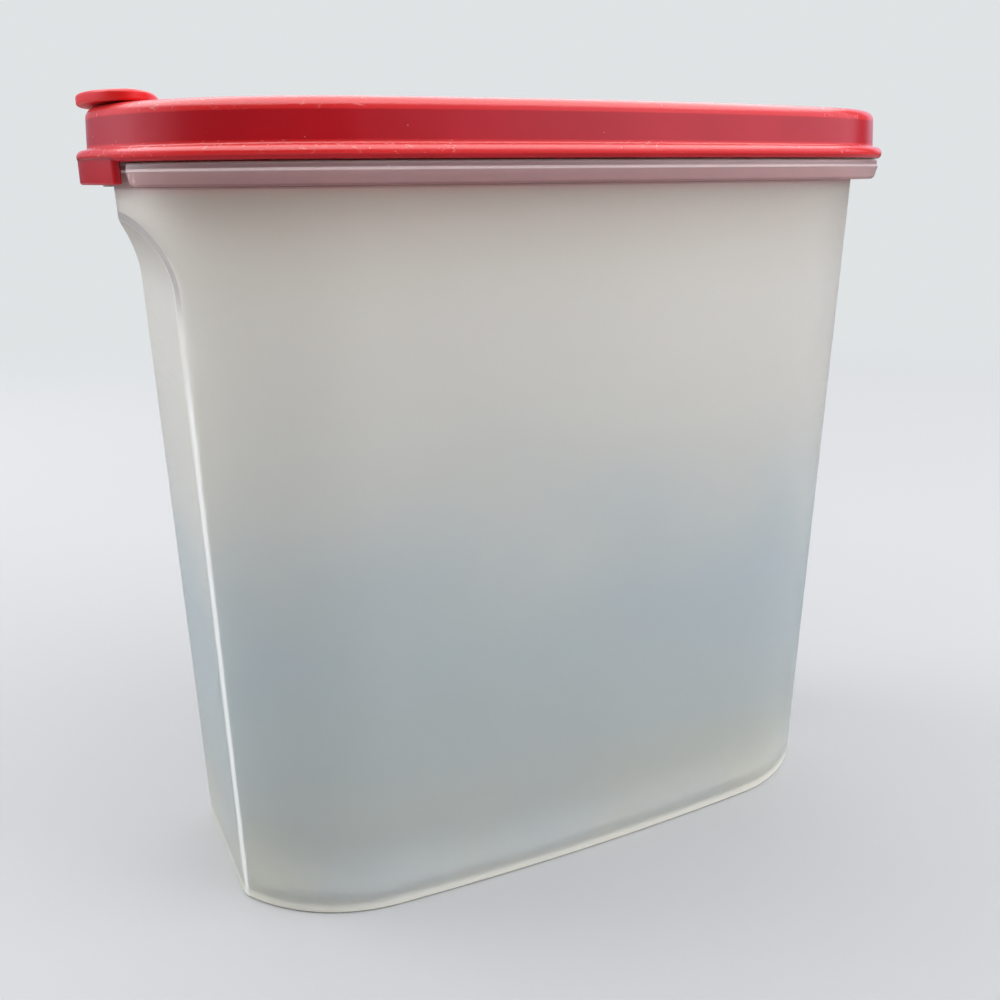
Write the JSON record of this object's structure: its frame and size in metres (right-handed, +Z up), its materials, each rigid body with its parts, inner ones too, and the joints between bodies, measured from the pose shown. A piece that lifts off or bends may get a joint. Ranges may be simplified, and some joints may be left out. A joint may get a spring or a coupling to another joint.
{
  "type": "cereal container",
  "caption": "Tall tapered oval container with a press-on lid whose end holds a hinged flip cap over the pouring hole, and a grip recess in each end.",
  "frame": {"origin": "middle of the base, on the surface that the container stands on", "axes": "+Z up, +X along the length away from the spout end, Y across the width"},
  "size_m": [0.2294, 0.1318, 0.2111],
  "materials": {
    "container_plastic": "frosted translucent polypropylene, milky, with a satin outer face",
    "lid_plastic": "satin moulded polyethylene with light scuffs"
  },
  "bodies": {
    "container": {"container": "container_plastic"},
    "lid": {"lid": "lid_plastic"},
    "flip_cap": {"flip_cap": "lid_plastic"}
  },
  "joints": [
    {"name": "lid_lift", "type": "slide", "parent": "container", "child": "lid", "axis": [0, 0, 1], "range_m": [0, 0.06]},
    {"name": "cap_flip", "type": "hinge", "parent": "lid", "child": "flip_cap", "pos_m": [-0.0523, 0, 0.2054], "axis": [0, 1, 0], "range_deg": [0, 105]}
  ]
}
